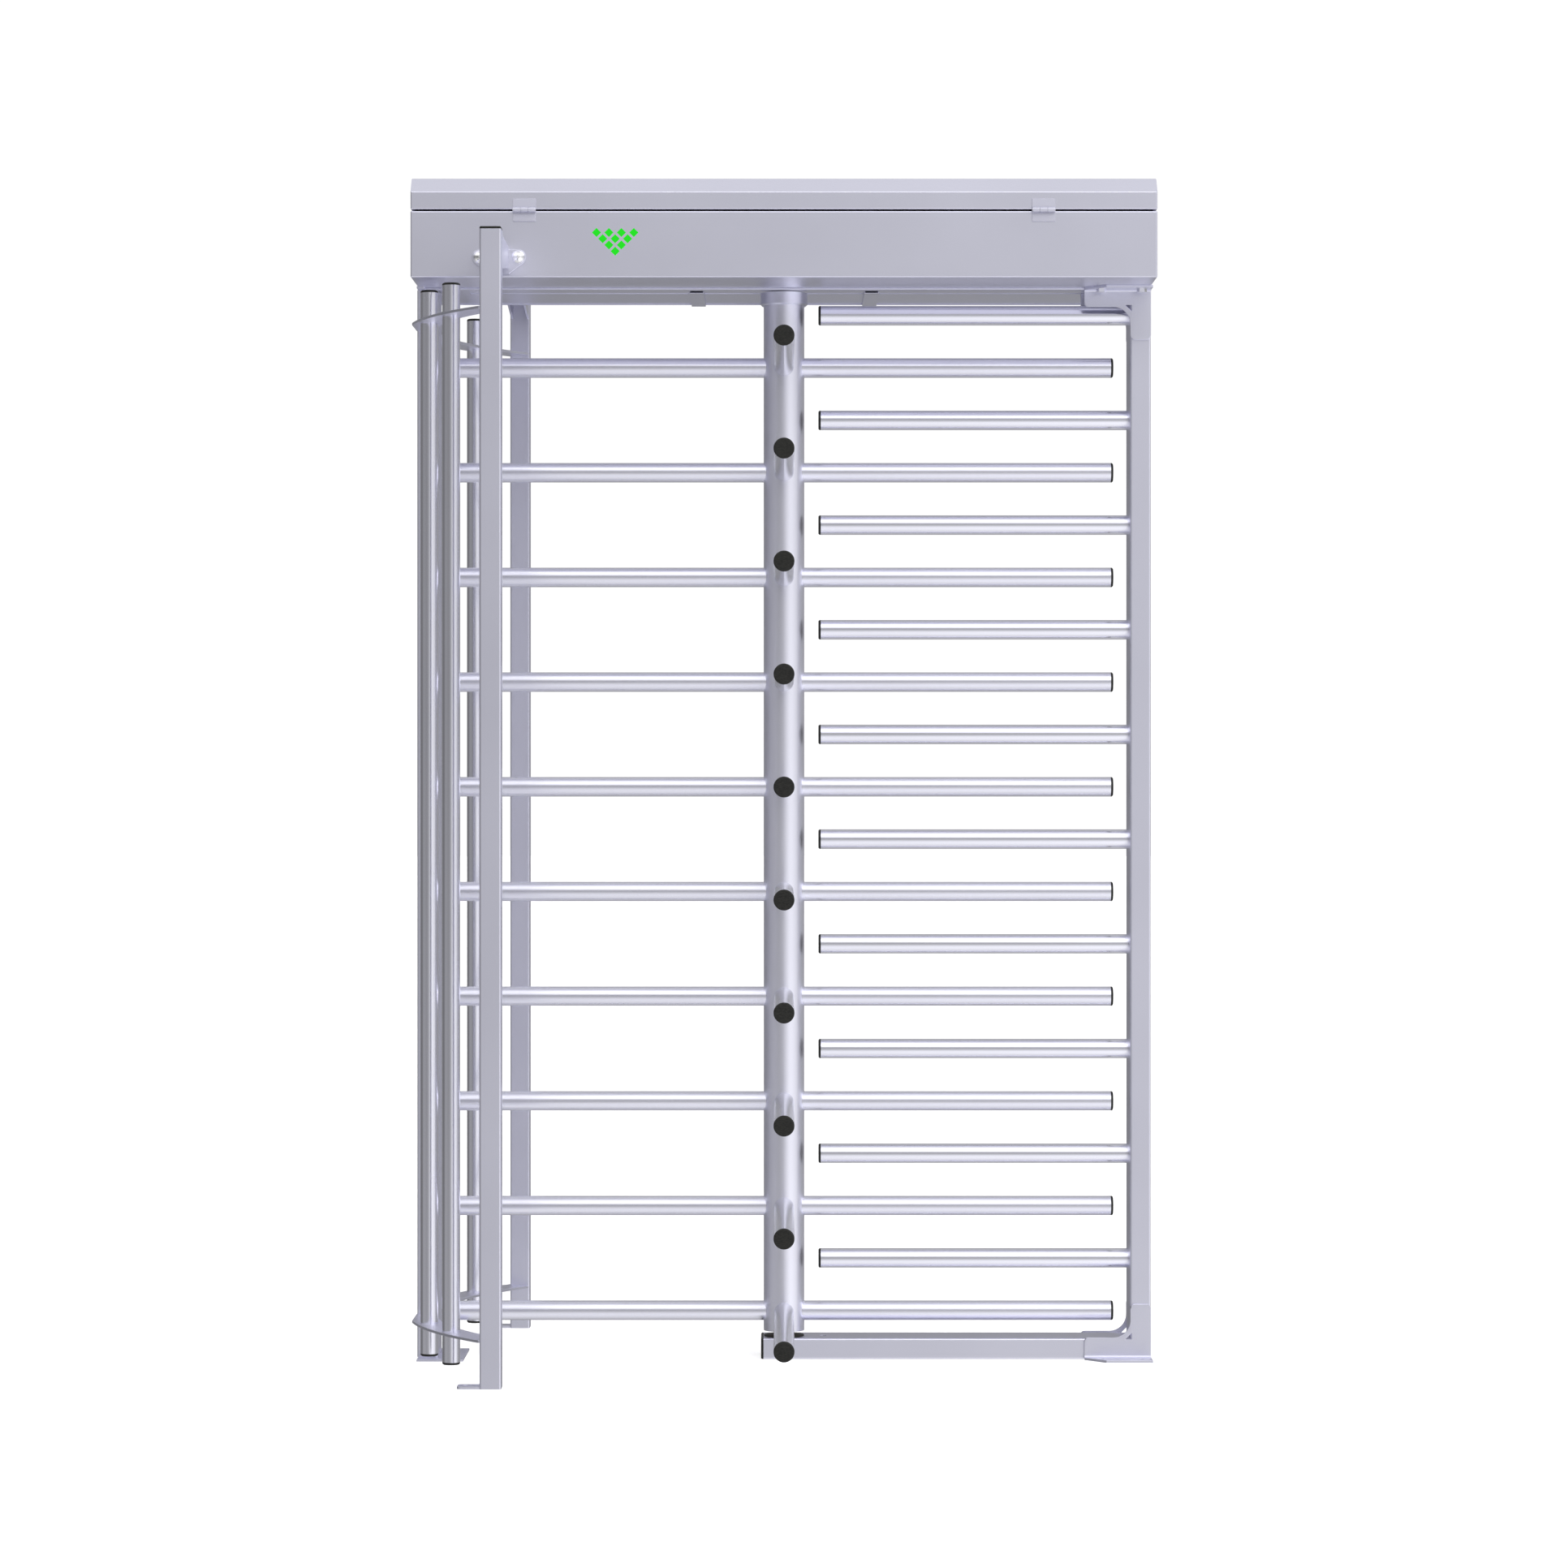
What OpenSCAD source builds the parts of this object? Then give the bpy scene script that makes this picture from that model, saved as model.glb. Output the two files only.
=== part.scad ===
// Full-height rotor turnstile with a comb barrier, a curved tube cage and a header case.
// The origin is on the floor under the rotor axis, +Z is up, people walk along Y, and the comb is on +X.

/* [Frame] */
// Distance from the rotor axis to the inner face of each main post
passage_half = 670; // [600:1:840]
// Height of the header case's underside above the floor
header_z = 2073.5; // [1720:0.5:2500]
// Narrow side of the post and beam tube
post_w = 40; // [34:1:50]
// Deep side of the post and beam tube
post_d = 100; // [90:1:120]
// Wall of the post and beam tube
post_wall = 3; // [2:0.5:5]
// Outer corner radius of the square tubes
corner_r = 3.5; // [2:0.5:5]
// Length of the bottom beam on the far side of the rotor axis
beam_overhang = 40; // [30:1:60]
// Distance of the beam's anchor hole from the rotor axis
beam_hole_x = 76; // [60:1:120]
// Radius of the anchor holes in the beam and the cage feet
anchor_r = 7; // [5:0.5:8]

/* [Gussets] */
// Length of a gusset along the beam
gusset_len = 129; // [110:1:160]
// Height of a gusset along the post
gusset_h = 107; // [95:1:140]
// Thickness of the gusset plate
gusset_t = 5; // [3:0.5:8]
// How far the bent flange stands out of the gusset plate
flange_reach = 51; // [40:1:70]
// Radius of the gusset's inner curve
gusset_curve = 33; // [20:1:36]
// Radius of the flange holes
flange_hole_r = 6; // [4:0.5:7]
// Distance between the two holes of a flange
flange_hole_pitch = 78; // [60:1:84]

/* [Rotor] */
// Number of arms in each wing and in the comb
arm_count = 10; // [7:1:11]
// Outer radius of an arm tube
arm_r = 19; // [15:0.5:22]
// Wall of an arm tube
arm_wall = 2; // [1.5:0.5:4]
// Height of the lowest rotor arm
lowest_arm_z = 89; // [80:1:110]
// Gap between the arm tips and the posts
tip_gap = 30; // [20:1:45]
// Outer radius of the rotor column
column_r = 39.5; // [36:0.5:44]
// Wall of the rotor column
column_wall = 4; // [3:0.5:6]
// Gap between the beam and the foot of the column
column_lift = 11; // [8:1:16]
// Outer radius of the collar under the header
collar_r = 45.5; // [42:0.5:48]
// Height of the collar
collar_h = 25; // [18:1:30]
// Radius of the stub shaft
shaft_r = 25; // [20:0.5:28]
// Radius of the lower pivot pin
pivot_r = 15; // [12:0.5:18]

/* [Comb] */
// Gap between the comb tips and the column
comb_gap = 27.5; // [20:0.5:45]
// Drop from the header to the highest comb arm
comb_drop = 48.5; // [40:0.5:70]

/* [Cage] */
// Outer radius of a cage tube
cage_tube_r = 16.85; // [14:0.05:19]
// Angle from the left post to the outer pair of tubes
tube_angle_a = 16.3; // [14:0.1:18]
// Angle from the left post to the inner pair of tubes
tube_angle_b = 27.5; // [25:0.1:29]
// Angle from the left post to the cage posts
cage_post_angle = 40.3; // [38:0.1:44]
// Side of a square cage post
cage_post_w = 40; // [34:1:46]
// Height of the cage posts above the header's underside
cage_post_rise = 61.5; // [50:0.5:80]
// Width of the arc plates
arc_w = 54; // [46:1:60]
// Thickness of the arc plates
arc_t = 5; // [3:0.5:8]
// Height of the lower arc plates
arc_low_z = 83; // [70:1:110]
// Drop from the header to the top of the upper arc plates
arc_top_drop = 78.5; // [60:0.5:110]
// How far the cage tubes pass the arc plates
tube_overrun = 57; // [30:1:60]

/* [Header] */
// Depth of the header case
header_d = 460; // [440:1:560]
// Height of the header tray
tray_h = 126; // [120:1:160]
// Gap between tray and lid
lid_gap = 3; // [2:0.5:4]
// Height of the lid's upright side
lid_side_h = 33; // [33:1:50]
// Size of the lid's slanted edge
lid_slant = 29; // [20:1:40]
// Thickness of the sheet metal
sheet = 2; // [1.5:0.5:3]
// Distance of each hinge from the middle
hinge_x = 492; // [300:1:540]
// Width and height of a hinge
hinge_w = 43; // [36:1:60]
// Radius of the hinge barrel
barrel_r = 5; // [4:0.5:6]

/* [Indicator] */
// Distance of the indicator from the middle
indicator_x = 320; // [250:1:400]
// Spacing of the lenses across
lens_dx = 23.6; // [22:0.1:28]
// Spacing of the lens rows
lens_dz = 11.8; // [11:0.1:14]
// Side of a lens
lens_side = 12.2; // [10:0.1:13]

/* [Mechanism] */
// Radius of the lock wheel
wheel_r = 70; // [66:1:72]
// Radius of the index cam's lobes
cam_r = 52; // [48:1:54]
// Radius of the index roller
roller_r = 12; // [10:0.5:13]

/* [Hidden] */
$fn = 64;
// Running clearance of a shaft or pin in its bore, on the radius
run = 0.05;
// Clearance between pieces that are pushed or bolted together
fit = 0.15;
eps = 1;
arc_steps = 6;

rotor_r = passage_half - tip_gap;
frame_x = passage_half + post_w;
arm_pitch = (header_z - comb_drop - lowest_arm_z) / (arm_count - 0.5);
comb_low_z = header_z - comb_drop - (arm_count - 1) * arm_pitch;
cap_t = 4.5;
cap_plug = 14;
cap_chamfer = 2;
cap_clear = 0.2;

// Top bar and left tab that carry the header
bar_d = 25;
bar_h = 4;
bar_front = -post_d / 2 - 5;
bar_x0 = -frame_x + 16;
gusset_x0 = frame_x - gusset_len;
flange_y = post_d / 2 + gusset_t + flange_reach;
flange_hole_y = 80;
flange_hole_x = frame_x - 20;
base_plate_w = 90;
base_plate_d = 174;
base_plate_t = 4;
base_hole_y = 60;
base_hole_x = -passage_half + 27;
tab_w = 14.5;
tab_d = 160;

// Cage
arc_in = passage_half + 4;
arc_out = arc_in + arc_w;
tube_ring = arc_in + arc_w / 2 + 2;
cage_corner = passage_half + 12;
cage_x = -cage_corner * cos(cage_post_angle) - cage_post_w / 2;
cage_y = cage_corner * sin(cage_post_angle) + cage_post_w / 2;
cage_post_top = header_z + cage_post_rise;
arc_high_z = header_z - arc_top_drop - arc_t;
tube_z0 = arc_low_z - tube_overrun;
tube_z1 = arc_high_z + arc_t + tube_overrun;
foot_len = 42;
foot_t = 5;
foot_d = cage_post_w - 4;
foot_hole_x = cage_x - cage_post_w / 2 - 26;

// Header
header_x = frame_x - 2;
half_d = header_d / 2;
floor_t = 3;
edge_r = 2.5;
rim = 14;
tray_top = header_z + tray_h;
lid_z = tray_top + lid_gap;
lid_h = lid_side_h + lid_slant;
lid_hem = 8;
hinge_y = -half_d - barrel_r - 0.4;
hinge_z = tray_top + lid_gap / 2;
hinge_pin_r = 2.5;
leaf_t = 2;
knuckle_gap = 0.4;
knuckle_w = (hinge_w - 2 * knuckle_gap) / 3;
channel_x = 170;
channel_w = 28;
channel_h = 7.5;
channel_t = 1.5;
pocket = 1.5;

// Post brackets
bracket_t = 4;
bracket_bolt_dx = 36.5;
bracket_bolt_z = header_z + 38;
bracket_lobe_r = 14.5;
web_out = 18;
web_top = header_z + 58.5;
web_low_case = header_z + 17.5;
web_low_post = header_z - 8.5;
dome_r = 12.5;
dome_h = 7.5;

// Mechanism levels above the header's underside
housing_top = header_z + 36;
bearing_z = header_z + 13;
bearing_h = 20;
bearing_r = 40;
plate_z = header_z + 46;
plate_t = 8;
deck_z = plate_z + plate_t;
wheel_z = header_z + 62;
wheel_t = 10;
cam_z = header_z + 78;
cam_t = 12;
lever_z = header_z + 91;
lever_t = 6;
disc_z = header_z + 99;
disc_t = 1.5;
disc_r = 60;
shaft_top = header_z + 104;

// Locking pawls, given for the +X side
pawl_x = wheel_r + 25;
pawl_y = -60;
pawl_pin_r = 5;
nose_x = wheel_r + 4;
nose_low = -0.5;
nose_w = 10;
tail_y = 30;
tail_pin_r = 3;
plunger_z = header_z + 78;
plunger_r = 6;
solenoid_x = pawl_x + 55;

// Index lever: the roller is stored just clear of the lobes and swings into a valley
valley_r = roller_r + 3;
valley_y = cam_r + 4;
roller_y = cam_r + roller_r + 0.5;
lever_x = 85;
spring_z = header_z + 74;
spring_turns = 6;
wire_r = 1.2;
coil_r = 9.2;
lever_w = 14;

// Lid lock
lock_y = half_d - sheet;
lock_z = lid_z + 16.5;

// ---------- shared shapes ----------

module rounded(w, d, r) {
    square([w - 2 * r, d], center = true);
    square([w, d - 2 * r], center = true);
    for (sx = [-1, 1])
        for (sy = [-1, 1])
            translate([sx * (w / 2 - r), sy * (d / 2 - r)])
                circle(r = r);
}

module tube_profile(w, d) {
    difference() {
        rounded(w, d, corner_r);
        rounded(w - 2 * post_wall, d - 2 * post_wall, max(corner_r - post_wall, 0.3));
    }
}

module pipe(r, wall, length) {
    difference() {
        cylinder(r = r, h = length);
        translate([0, 0, -eps])
            cylinder(r = r - wall, h = length + 2 * eps);
    }
}

// A push-in cap for a round tube: seat at z 0, the visible face up
module round_cap(r, wall) {
    translate([0, 0, -cap_plug])
        cylinder(r = r - wall - cap_clear, h = cap_plug + eps);
    cylinder(r = r, h = cap_t - cap_chamfer);
    translate([0, 0, cap_t - cap_chamfer])
        cylinder(r1 = r, r2 = r - cap_chamfer, h = cap_chamfer);
}

// A push-in cap for a rectangular tube, with the same seat and a chamfered face
module square_cap(w, d, wall) {
    translate([0, 0, -cap_plug / 2])
        cube([w - 2 * wall - 2 * cap_clear, d - 2 * wall - 2 * cap_clear, cap_plug + eps], center = true);
    intersection() {
        linear_extrude(height = cap_t)
            rounded(w, d, corner_r);
        rotate([90, 0, 0])
            linear_extrude(height = d + 2, center = true)
                chamfer_profile(w);
        rotate([90, 0, 90])
            linear_extrude(height = w + 2, center = true)
                chamfer_profile(d);
    }
}

module chamfer_profile(w) {
    polygon([[-w / 2, 0], [w / 2, 0], [w / 2, cap_t - cap_chamfer], [w / 2 - cap_chamfer, cap_t],
        [cap_chamfer - w / 2, cap_t], [-w / 2, cap_t - cap_chamfer]]);
}

// The waste of a rounded corner: the corner point is the origin, the metal lies towards -x -y
module corner_waste(r) {
    difference() {
        translate([-r, -r])
            square(r + eps);
        translate([-r, -r])
            circle(r = r);
    }
}

module front_and_rear() {
    children();
    mirror([0, 1, 0])
        children();
}

function arc_points(x, y, r, a0, a1) =
    [for (i = [0 : arc_steps]) [x + r * cos(a0 + (a1 - a0) * i / arc_steps),
        y + r * sin(a0 + (a1 - a0) * i / arc_steps)]];

// ---------- main frame ----------

module right_post() {
    color("lightsteelblue")
        translate([passage_half + post_w / 2, 0, 0])
            linear_extrude(height = header_z)
                tube_profile(post_w, post_d);
}

module left_post() {
    color("lightsteelblue")
        translate([-passage_half - post_w / 2, 0, base_plate_t])
            linear_extrude(height = header_z - bar_h - base_plate_t)
                tube_profile(post_w, post_d);
}

module bottom_beam() {
    color("lightsteelblue")
        difference() {
            translate([-beam_overhang, 0, post_w / 2])
                rotate([90, 0, 90])
                    linear_extrude(height = beam_overhang + passage_half)
                        tube_profile(post_d, post_w);
            translate([beam_hole_x, 0, -eps])
                cylinder(r = anchor_r, h = post_w + 2 * eps);
        }
}

module beam_end_cap() {
    color("dimgray")
        translate([-beam_overhang, 0, post_w / 2])
            rotate([0, -90, 0])
                square_cap(post_w, post_d, post_wall);
}

module top_bar() {
    color("lightsteelblue") {
        translate([bar_x0, bar_front, header_z - bar_h])
            cube([gusset_x0 - bar_x0, bar_d, bar_h]);
        translate([bar_x0 - tab_w, -tab_d / 2, header_z - bar_h])
            cube([tab_w, tab_d, bar_h]);
    }
}

module foot_plates() {
    color("lightsteelblue") {
        difference() {
            translate([-frame_x + 1.5, -base_plate_d / 2, 0])
                cube([base_plate_w, base_plate_d, base_plate_t]);
            for (side = [-1, 1])
                translate([base_hole_x, side * base_hole_y, -eps])
                    cylinder(r = flange_hole_r, h = base_plate_t + 2 * eps);
        }
        front_and_rear()
            cage_foot();
    }
}

module cage_foot() {
    translate([cage_x - cage_post_w / 2, -cage_y, 0])
        linear_extrude(height = foot_t)
            difference() {
                translate([-foot_len, -foot_d / 2])
                    square([foot_len, foot_d]);
                for (side = [0, 1])
                    mirror([0, side])
                        translate([-foot_len, foot_d / 2])
                            mirror([1, 0])
                                corner_waste(6);
                translate([foot_hole_x - cage_x + cage_post_w / 2, 0])
                    circle(r = anchor_r);
            }
}

// One bent gusset at the right post's front face: leg_z up the post, leg_x the depth of the beam leg
module gusset(leg_z, leg_x) {
    translate([0, -post_d / 2, 0])
        rotate([90, 0, 0])
            linear_extrude(height = gusset_t)
                gusset_outline(leg_z, leg_x);
    difference() {
        linear_extrude(height = gusset_t)
            polygon([[gusset_x0, -post_d / 2], [gusset_x0, -post_d / 2 - gusset_t - 8],
                [gusset_x0 + 39, -flange_y], [frame_x, -flange_y], [frame_x, -post_d / 2]]);
        for (x = [flange_hole_x - flange_hole_pitch, flange_hole_x])
            translate([x, -flange_hole_y, -eps])
                cylinder(r = flange_hole_r, h = gusset_t + 2 * eps);
    }
    translate([gusset_x0, -post_d / 2 - gusset_t, gusset_t])
        rotate([90, 0, 90])
            linear_extrude(height = gusset_len)
                mirror([0, 1])
                    corner_waste(3);
}

module gusset_outline(leg_z, leg_x) {
    difference() {
        union() {
            translate([gusset_x0, 0])
                square([gusset_len, leg_x]);
            translate([passage_half, 0])
                square([post_w, leg_z]);
            translate([passage_half - gusset_curve, leg_x - eps])
                difference() {
                    square([gusset_curve + eps, gusset_curve + eps]);
                    translate([0, gusset_curve + eps])
                        circle(r = gusset_curve);
                }
        }
        translate([frame_x, leg_z])
            corner_waste(9);
        translate([passage_half, leg_z])
            mirror([1, 0])
                corner_waste(9);
        translate([gusset_x0, leg_x])
            mirror([1, 0])
                corner_waste(7);
        polygon([[passage_half + 2.5, leg_x - 3.5], [passage_half + 2.5, leg_x + 9],
            [passage_half - 10, leg_x - 3.5]]);
    }
}

module bottom_gussets() {
    color("lightsteelblue")
        front_and_rear()
            gusset(gusset_h, post_w + 2.5);
}

module top_gussets() {
    color("lightsteelblue")
        translate([0, 0, header_z])
            mirror([0, 0, 1])
                front_and_rear()
                    gusset(gusset_h - 6.5, post_w - 3.3);
}

module comb_arms() {
    color("lightsteelblue")
        for (k = [0 : arm_count - 1])
            translate([column_r + comb_gap + cap_t, 0, comb_low_z + k * arm_pitch])
                rotate([0, 90, 0])
                    pipe(arm_r, arm_wall, passage_half - column_r - comb_gap - cap_t);
}

module comb_caps() {
    color("dimgray")
        for (k = [0 : arm_count - 1])
            translate([column_r + comb_gap + cap_t, 0, comb_low_z + k * arm_pitch])
                rotate([0, -90, 0])
                    round_cap(arm_r, arm_wall);
}

module pivot_pin() {
    color("silver")
        translate([0, 0, post_w])
            cylinder(r = pivot_r, h = column_lift + 24);
}

module thrust_washer() {
    color("dimgray")
        translate([0, 0, post_w])
            pipe(39, 39 - pivot_r - fit, 2);
}

// ---------- cage ----------

module at_cage_tubes() {
    for (angle = [tube_angle_a, tube_angle_b])
        for (side = [-1, 1])
            translate([-tube_ring * cos(angle), side * tube_ring * sin(angle), 0])
                children();
}

module cage_posts() {
    color("lightsteelblue")
        for (side = [-1, 1])
            translate([cage_x, side * cage_y, 0])
                linear_extrude(height = cage_post_top)
                    tube_profile(cage_post_w, cage_post_w);
}

module cage_tubes() {
    color("lightsteelblue")
        at_cage_tubes()
            translate([0, 0, tube_z0 + cap_t])
                pipe(cage_tube_r, arm_wall, tube_z1 - tube_z0 - 2 * cap_t);
}

module cage_caps() {
    color("dimgray") {
        at_cage_tubes() {
            translate([0, 0, tube_z1 - cap_t])
                round_cap(cage_tube_r, arm_wall);
            translate([0, 0, tube_z0 + cap_t])
                mirror([0, 0, 1])
                    round_cap(cage_tube_r, arm_wall);
        }
        for (side = [-1, 1])
            translate([cage_x, side * cage_y, cage_post_top])
                square_cap(cage_post_w, cage_post_w, post_wall);
    }
}

module arc_plate() {
    linear_extrude(height = arc_t)
        difference() {
            intersection() {
                difference() {
                    circle(r = arc_out);
                    circle(r = arc_in);
                }
                translate([-frame_x - 1, -cage_y])
                    square([frame_x + 1 + cage_x + 17, cage_y - post_d / 2]);
            }
            translate([cage_x, -cage_y])
                square(cage_post_w, center = true);
            for (angle = [tube_angle_a, tube_angle_b])
                translate([-tube_ring * cos(angle), -tube_ring * sin(angle)])
                    circle(r = cage_tube_r + fit);
        }
}

module upper_arc_plates() {
    color("lightsteelblue")
        translate([0, 0, arc_high_z])
            front_and_rear()
                arc_plate();
}

module lower_arc_plates() {
    color("lightsteelblue")
        translate([0, 0, arc_low_z])
            front_and_rear()
                arc_plate();
}

// ---------- brackets between the header and the cage posts ----------

bracket_foot = 19;
bracket_drop = bracket_bolt_z - header_z - 6.5;
lobe_dx = bracket_bolt_dx - bracket_foot;
lobe_dist = sqrt(lobe_dx * lobe_dx + bracket_drop * bracket_drop);
lobe_angle = atan2(bracket_drop, lobe_dx) - asin(bracket_lobe_r / lobe_dist);
lobe_run = sqrt(lobe_dist * lobe_dist - bracket_lobe_r * bracket_lobe_r);
tangent_x = bracket_foot + lobe_run * cos(lobe_angle);
tangent_z = lobe_run * sin(lobe_angle) - bracket_drop;

module post_bracket() {
    translate([cage_x, -half_d, bracket_bolt_z])
        rotate([90, 0, 0])
            linear_extrude(height = bracket_t)
                difference() {
                    union() {
                        polygon([[-bracket_bolt_dx, bracket_lobe_r], [bracket_bolt_dx, bracket_lobe_r],
                            [bracket_bolt_dx, 0], [tangent_x, tangent_z], [bracket_foot, -bracket_drop],
                            [-bracket_foot, -bracket_drop], [-tangent_x, tangent_z],
                            [-bracket_bolt_dx, 0]]);
                        for (side = [-1, 1])
                            translate([side * bracket_bolt_dx, 0])
                                circle(r = bracket_lobe_r);
                    }
                    for (side = [-1, 1])
                        translate([side * bracket_bolt_dx, 0])
                            circle(r = 5 + fit);
                }
    for (x = [cage_x - web_out, cage_x + web_out - bracket_t])
        translate([x, 0, 0])
            rotate([90, 0, 90])
                linear_extrude(height = bracket_t)
                    polygon([[-half_d - bracket_t, web_low_case], [-half_d - bracket_t, web_top - 6],
                        [-half_d - bracket_t - 6, web_top], [-cage_y + cage_post_w / 2, web_top],
                        [-cage_y + cage_post_w / 2, web_low_post]]);
}

module post_brackets() {
    color("lightsteelblue")
        front_and_rear()
            post_bracket();
}

module dome_bolt() {
    dome_ball = (dome_r * dome_r + dome_h * dome_h) / (2 * dome_h);
    intersection() {
        translate([0, 0, dome_h - dome_ball])
            sphere(r = dome_ball);
        cylinder(r = dome_r + 1, h = dome_h + 1);
    }
    translate([0, 0, -bracket_t - sheet - 12])
        cylinder(r = 5, h = bracket_t + sheet + 12 + eps);
    translate([0, 0, -bracket_t - sheet - 8])
        cylinder(r = 9.5, h = 8, $fn = 6);
}

module bracket_bolts() {
    color("silver")
        front_and_rear()
            for (side = [-1, 1])
                translate([cage_x + side * bracket_bolt_dx, -half_d - bracket_t, bracket_bolt_z])
                    rotate([90, 0, 0])
                        dome_bolt();
}

// ---------- header tray ----------

module at_flange_holes() {
    for (x = [flange_hole_x - flange_hole_pitch, flange_hole_x])
        for (side = [-1, 1])
            translate([x, side * flange_hole_y, header_z])
                children();
}

module at_lenses() {
    for (row = [0 : 3])
        for (column_no = [0 : 3 - row])
            translate([(column_no - (3 - row) / 2) * lens_dx - indicator_x, 0,
                header_z + 85 - row * lens_dz])
                children();
}

module tray_shell() {
    intersection() {
        linear_extrude(height = tray_h)
            rounded(2 * header_x, header_d, edge_r);
        translate([0, 0, tray_h / 2])
            rotate([90, 0, 0])
                linear_extrude(height = header_d + 2, center = true)
                    rounded(2 * header_x, tray_h, edge_r);
        translate([0, 0, tray_h / 2])
            rotate([90, 0, 90])
                linear_extrude(height = 2 * header_x + 2, center = true)
                    rounded(header_d, tray_h, edge_r);
    }
    translate([edge_r - header_x, half_d - sheet, -3])
        cube([2 * (header_x - edge_r), sheet, 3 + edge_r]);
}

module header_tray() {
    color("lightsteelblue")
        difference() {
            translate([0, 0, header_z])
                tray_shell();
            translate([sheet - header_x, sheet - half_d, header_z + floor_t])
                cube([2 * (header_x - sheet), header_d - 2 * sheet, tray_h - floor_t - sheet]);
            translate([rim - header_x, rim - half_d, header_z + floor_t])
                cube([2 * (header_x - rim), header_d - 2 * rim, tray_h]);
            translate([96 - frame_x, -27, header_z - eps])
                cube([gusset_x0 + frame_x - 96, 84, pocket + eps]);
            translate([0, 0, header_z - eps])
                cylinder(r = shaft_r + 5, h = floor_t + 2 * eps);
            at_flange_holes()
                translate([0, 0, -eps])
                    cylinder(r = 5 + fit, h = floor_t + 2 * eps);
            translate([frame_x - 70, 150, header_z - 5])
                cylinder(r = 8 + fit, h = floor_t + 10);
            for (side = [-1, 1])
                for (dx = [-bracket_bolt_dx, bracket_bolt_dx])
                    translate([cage_x + dx, side * (half_d - sheet / 2), bracket_bolt_z])
                        rotate([90, 0, 0])
                            cylinder(r = 5 + fit, h = sheet + 2 * eps, center = true);
            at_lenses()
                translate([0, sheet / 2 - half_d, 0])
                    rotate([0, 45, 0])
                        cube([lens_side, sheet + 2 * eps, lens_side], center = true);
        }
}

module support_channels() {
    color("gray")
        for (x = [-channel_x, channel_x])
            translate([x, -23, header_z - channel_h])
                rotate([90, 0, 180])
                    linear_extrude(height = 241)
                        difference() {
                            translate([-channel_w / 2, 0])
                                square([channel_w, channel_h]);
                            translate([channel_t - channel_w / 2, channel_t])
                                square([channel_w - 2 * channel_t, channel_h]);
                        }
}

module gusset_bolts() {
    color("silver")
        at_flange_holes() {
            translate([0, 0, -gusset_t - 6.4])
                cylinder(r = 9.8, h = 6.4, $fn = 6);
            translate([0, 0, -gusset_t - eps])
                cylinder(r = 5, h = gusset_t + floor_t + 12);
            translate([0, 0, floor_t])
                cylinder(r = 9.8, h = 8, $fn = 6);
        }
}

module indicator_board() {
    color("seagreen") {
        translate([-indicator_x - 52, 5 - half_d, header_z + 34])
            cube([104, 2, 64]);
        for (dx = [-46, 46])
            for (dz = [40, 92])
                translate([dx - indicator_x, 5 - half_d + eps, header_z + dz])
                    rotate([90, 0, 0])
                        cylinder(r = 3, h = 3 + eps);
    }
}

module indicator_lenses() {
    color("limegreen")
        at_lenses()
            translate([0, 2.5 - half_d, 0])
                rotate([0, 45, 0])
                    cube([lens_side - 2 * fit, 5, lens_side - 2 * fit], center = true);
}

// ---------- hinges of the lid ----------

module hinge_leaf(direction) {
    leaf_x = direction > 0 ? [0] : [-1, 1];
    for (x = [-hinge_x, hinge_x])
        translate([x, hinge_y, hinge_z])
            difference() {
                union() {
                    translate([-hinge_w / 2, -half_d - hinge_y - leaf_t, direction > 0 ? 4.4 : -hinge_w / 2])
                        cube([hinge_w, leaf_t, hinge_w / 2 - 4.4]);
                    for (k = leaf_x)
                        translate([k * (knuckle_w + knuckle_gap), 0, 0]) {
                            rotate([0, 90, 0])
                                cylinder(r = barrel_r, h = knuckle_w, center = true);
                            translate([-knuckle_w / 2, -half_d - hinge_y - leaf_t, direction > 0 ? 0 : -5])
                                cube([knuckle_w, leaf_t, 5]);
                        }
                }
                rotate([0, 90, 0])
                    cylinder(r = hinge_pin_r + run, h = hinge_w + 2, center = true);
            }
}

module lower_hinge_leaves() {
    color("silver")
        hinge_leaf(-1);
}

module upper_hinge_leaves() {
    color("silver")
        hinge_leaf(1);
}

module hinge_pins() {
    color("silver")
        for (x = [-hinge_x, hinge_x])
            translate([x, hinge_y, hinge_z])
                rotate([0, 90, 0])
                    cylinder(r = hinge_pin_r, h = hinge_w + 1, center = true);
}

// ---------- fixed mechanism in the header ----------

module bearing_housing() {
    color("gray")
        difference() {
            union() {
                translate([-60, -60, header_z + floor_t])
                    cube([120, 120, 8]);
                translate([0, 0, header_z + floor_t])
                    cylinder(r = bearing_r + 7.5, h = housing_top - header_z - floor_t);
            }
            translate([0, 0, header_z])
                cylinder(r = bearing_r - 6, h = 60);
            translate([0, 0, bearing_z])
                cylinder(r = bearing_r + fit, h = 60);
            for (x = [-50, 50])
                for (y = [-50, 50])
                    translate([x, y, header_z])
                        cylinder(r = 4, h = 30);
        }
}

module upper_bearing() {
    color("silver")
        translate([0, 0, bearing_z])
            difference() {
                cylinder(r = bearing_r, h = bearing_h);
                translate([0, 0, -eps])
                    cylinder(r = shaft_r + run, h = bearing_h + 2 * eps);
                for (z = [-1, bearing_h - 1])
                    translate([0, 0, z])
                        pipe(bearing_r - 4, bearing_r - shaft_r - 8, 2);
            }
}

module at_pillars() {
    for (x = [-150, 150])
        for (y = [-100, 100])
            translate([x, y, 0])
                children();
}

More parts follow.
